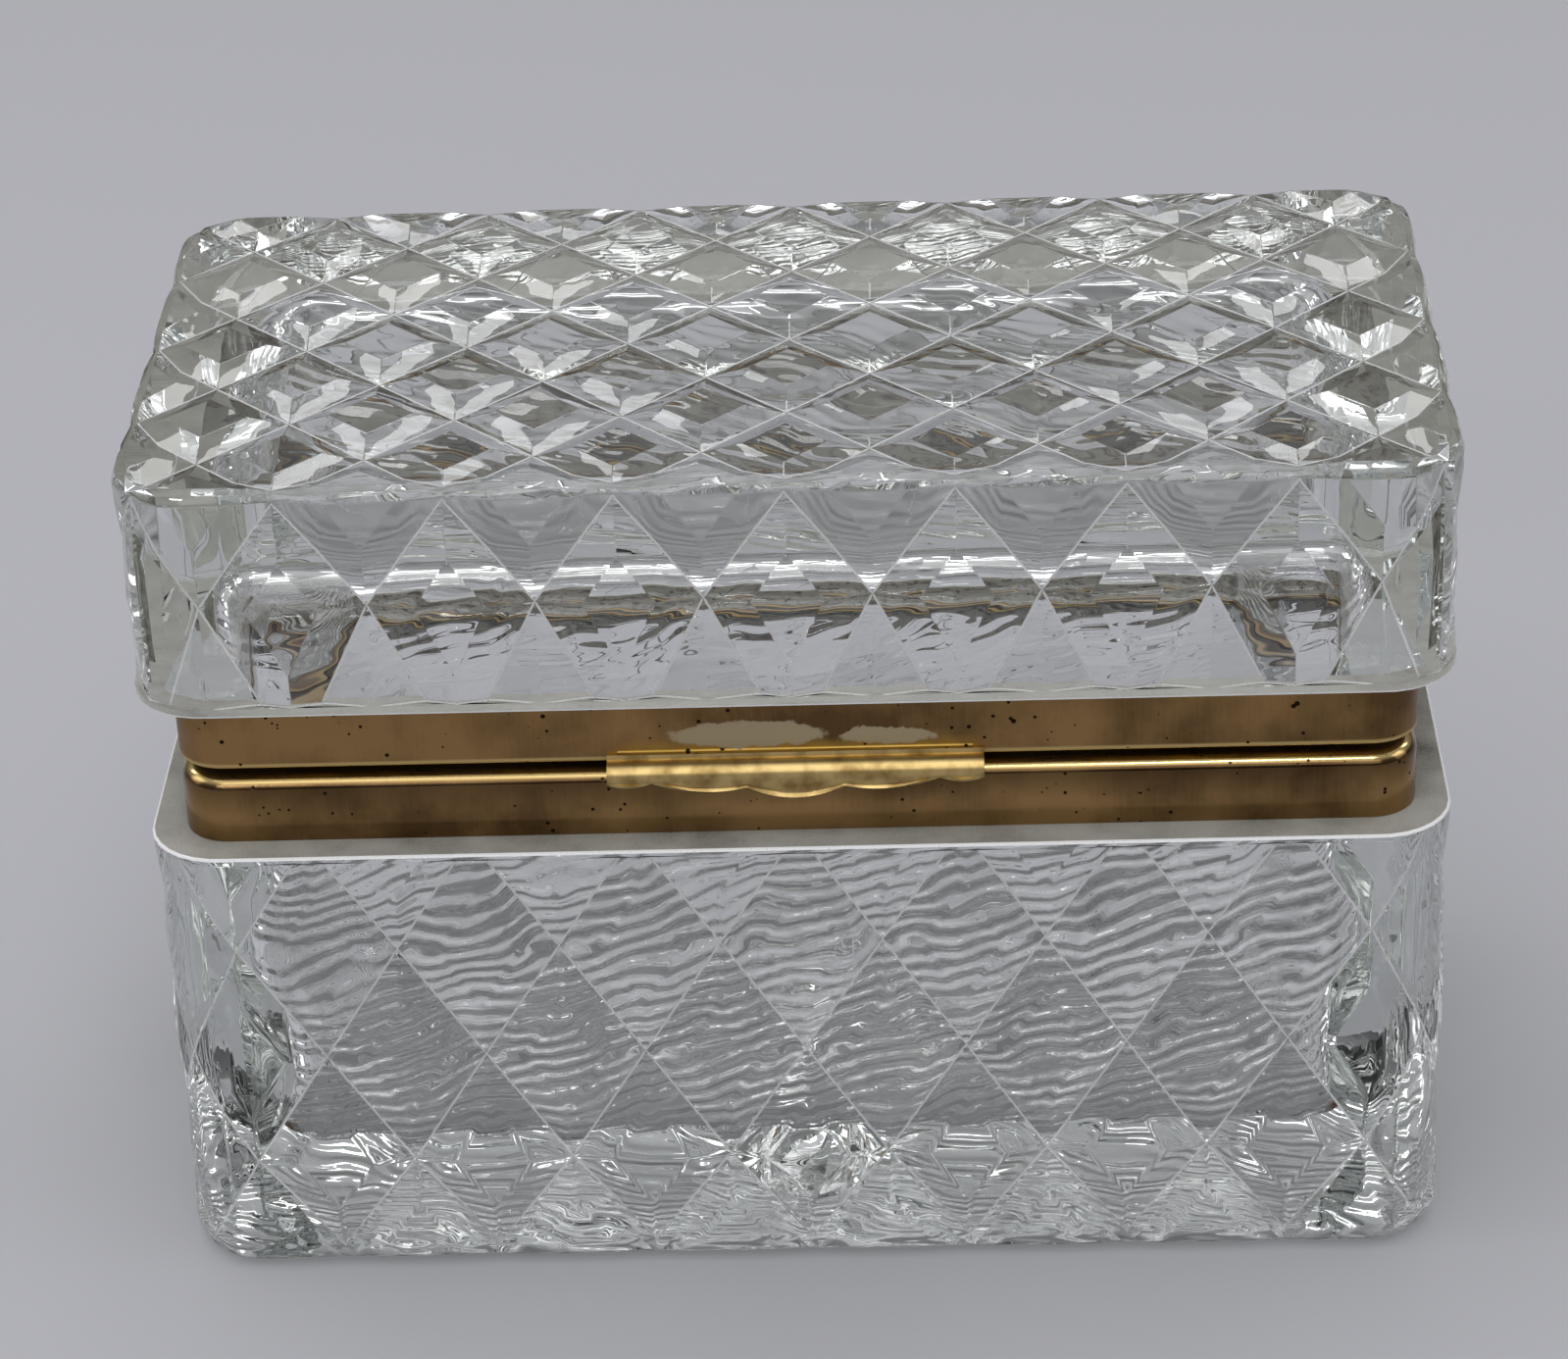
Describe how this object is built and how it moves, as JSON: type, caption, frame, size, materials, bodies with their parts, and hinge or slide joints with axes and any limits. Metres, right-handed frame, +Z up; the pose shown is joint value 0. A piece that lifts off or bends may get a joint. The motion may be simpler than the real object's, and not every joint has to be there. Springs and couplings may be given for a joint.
{
  "type": "glass casket box",
  "caption": "Rectangular cut glass casket box with a thick hollow base, a hollow lid, brass mounts at the seam, a rear hinge and a scalloped thumb tab.",
  "frame": {"origin": "on the table under the middle of the box", "axes": "+X along the front from left to right, +Y from the front to the hinge at the back, +Z up"},
  "size_m": [0.15, 0.076, 0.105],
  "materials": {
    "glass": "clear polished cut glass with a ground ledge",
    "brass": "aged, satin, pitted",
    "bright_brass": "worn bright by handling",
    "plaster": "matte set plaster",
    "solder": "dull soft solder"
  },
  "bodies": {
    "base": {"base_glass": "glass", "base_mount": "brass", "base_plaster": "plaster", "base_hinge_leaf": "brass", "hinge_pin": "brass"},
    "lid": {"lid_glass": "glass", "lid_mount": "brass", "lid_plaster": "plaster", "lid_hinge_leaf": "brass", "thumb_tab": "bright_brass", "tab_solder": "solder"}
  },
  "joints": [
    {"name": "lid_hinge", "type": "hinge", "parent": "base", "child": "lid", "pos_m": [0, 0.0349, 0.0669], "axis": [-1, 0, 0], "range_deg": [0, 100]}
  ]
}
